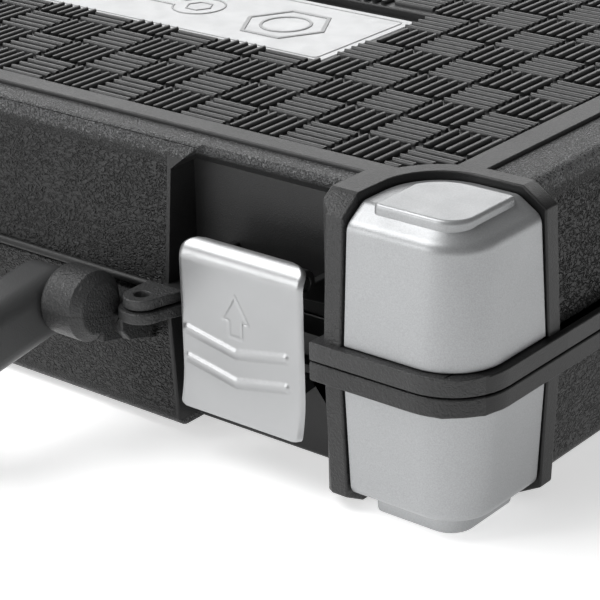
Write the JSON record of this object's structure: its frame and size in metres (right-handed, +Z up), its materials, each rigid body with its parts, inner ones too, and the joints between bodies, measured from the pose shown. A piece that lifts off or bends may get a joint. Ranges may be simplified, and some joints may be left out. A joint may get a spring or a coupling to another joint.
{
  "type": "socket wrench set in case",
  "caption": "Hard carrying case with a hinged lid, two front latches, a folding handle and silver corner guards, holding ratchets, sockets, extension bars and a sliding T-bar.",
  "frame": {"origin": "middle of the object's footprint, on the surface it stands on", "axes": "+X to the right along the long side, +Y from the handle side to the hinge side, +Z up; the case lies flat and closed"},
  "size_m": [0.4096, 0.3574, 0.0825],
  "materials": {
    "black_shell": "moulded black plastic with a pebbled grain",
    "black_smooth": "smooth black plastic",
    "silver_paint": "fine silver paint",
    "satin_metal": "satin pressed metal",
    "badge_metal": "satin plate",
    "steel": "plain steel",
    "chrome": "satin chrome",
    "grip_plastic": "moulded grip",
    "tray_plastic": "moulded tray",
    "foam": "soft foam"
  },
  "bodies": {
    "base": {"base_shell": "black_shell", "tool_tray": "tray_plastic", "base_guard_front_left": "silver_paint", "base_guard_front_right": "silver_paint", "base_guard_back_left": "silver_paint", "base_guard_back_right": "silver_paint", "hinge_pin_left": "steel", "hinge_pin_right": "steel", "ratchet_half_body": "chrome", "ratchet_half_grip": "grip_plastic", "ratchet_quarter_body": "chrome", "ratchet_quarter_grip": "grip_plastic", "extension_long": "chrome", "extension_short": "chrome", "extension_quarter": "chrome", "spinner_shaft": "chrome", "spinner_grip": "grip_plastic", "sliding_bar": "chrome", "socket_half_1": "chrome", "socket_half_2": "chrome", "socket_half_3": "chrome", "socket_half_4": "chrome", "socket_half_5": "chrome", "socket_half_6": "chrome", "socket_half_7": "chrome", "socket_half_8": "chrome", "socket_quarter_1": "chrome", "socket_quarter_2": "chrome", "socket_quarter_3": "chrome", "socket_quarter_4": "chrome", "socket_quarter_5": "chrome", "socket_quarter_6": "chrome", "socket_quarter_7": "chrome", "socket_quarter_8": "chrome", "socket_spark_plug_1": "chrome", "socket_spark_plug_2": "chrome"},
    "lid": {"lid_shell": "black_shell", "lid_liner": "foam", "badge_plate": "badge_metal", "lid_guard_front_left": "silver_paint", "lid_guard_front_right": "silver_paint", "lid_guard_back_left": "silver_paint", "lid_guard_back_right": "silver_paint", "latch_pin_left": "steel", "latch_pin_right": "steel"},
    "latch_left": {"latch_plate_left": "satin_metal", "latch_lever_left": "black_smooth"},
    "latch_right": {"latch_plate_right": "satin_metal", "latch_lever_right": "black_smooth"},
    "handle": {"carry_handle": "black_smooth"},
    "ratchet_half_drive": {"ratchet_half_drive": "steel"},
    "ratchet_half_lever": {"ratchet_half_lever": "black_smooth"},
    "ratchet_half_button": {"ratchet_half_button": "steel"},
    "ratchet_quarter_drive": {"ratchet_quarter_drive": "steel"},
    "ratchet_quarter_lever": {"ratchet_quarter_lever": "black_smooth"},
    "ratchet_quarter_button": {"ratchet_quarter_button": "steel"},
    "sliding_head": {"sliding_head": "chrome"}
  },
  "joints": [
    {"name": "lid_hinge", "type": "hinge", "parent": "base", "child": "lid", "pos_m": [0, 0.17417, 0.0403], "axis": [-1, 0, 0], "range_deg": [0, 170]},
    {"name": "latch_left_pivot", "type": "hinge", "parent": "lid", "child": "latch_left", "pos_m": [-0.1326, -0.11643, 0.0551], "axis": [-1, 0, 0], "range_deg": [0, 85]},
    {"name": "latch_right_pivot", "type": "hinge", "parent": "lid", "child": "latch_right", "pos_m": [0.1326, -0.11643, 0.0551], "axis": [-1, 0, 0], "range_deg": [0, 85]},
    {"name": "handle_pivot", "type": "hinge", "parent": "base", "child": "handle", "pos_m": [0, -0.13163, 0.04], "axis": [-1, 0, 0], "range_deg": [-36, 84]},
    {"name": "ratchet_half_drive_turn", "type": "hinge", "parent": "base", "child": "ratchet_half_drive", "pos_m": [-0.16, 0.12957, 0.0363], "axis": [0, 0, 1], "continuous": true},
    {"name": "ratchet_half_lever_turn", "type": "hinge", "parent": "base", "child": "ratchet_half_lever", "pos_m": [-0.16, 0.12957, 0.0363], "axis": [0, 0, 1], "range_deg": [-25, 25]},
    {"name": "ratchet_half_button_press", "type": "slide", "parent": "base", "child": "ratchet_half_button", "axis": [0, 0, -1], "range_m": [0, 0.002], "stiffness_N_per_m": 500},
    {"name": "ratchet_quarter_drive_turn", "type": "hinge", "parent": "base", "child": "ratchet_quarter_drive", "pos_m": [-0.168, 0.06157, 0.0363], "axis": [0, 0, 1], "continuous": true},
    {"name": "ratchet_quarter_lever_turn", "type": "hinge", "parent": "base", "child": "ratchet_quarter_lever", "pos_m": [-0.168, 0.06157, 0.0363], "axis": [0, 0, 1], "range_deg": [-25, 25]},
    {"name": "ratchet_quarter_button_press", "type": "slide", "parent": "base", "child": "ratchet_quarter_button", "axis": [0, 0, -1], "range_m": [0, 0.002], "stiffness_N_per_m": 500},
    {"name": "sliding_head_travel", "type": "slide", "parent": "base", "child": "sliding_head", "axis": [1, 0, 0], "range_m": [-0.046, 0.046]}
  ]
}
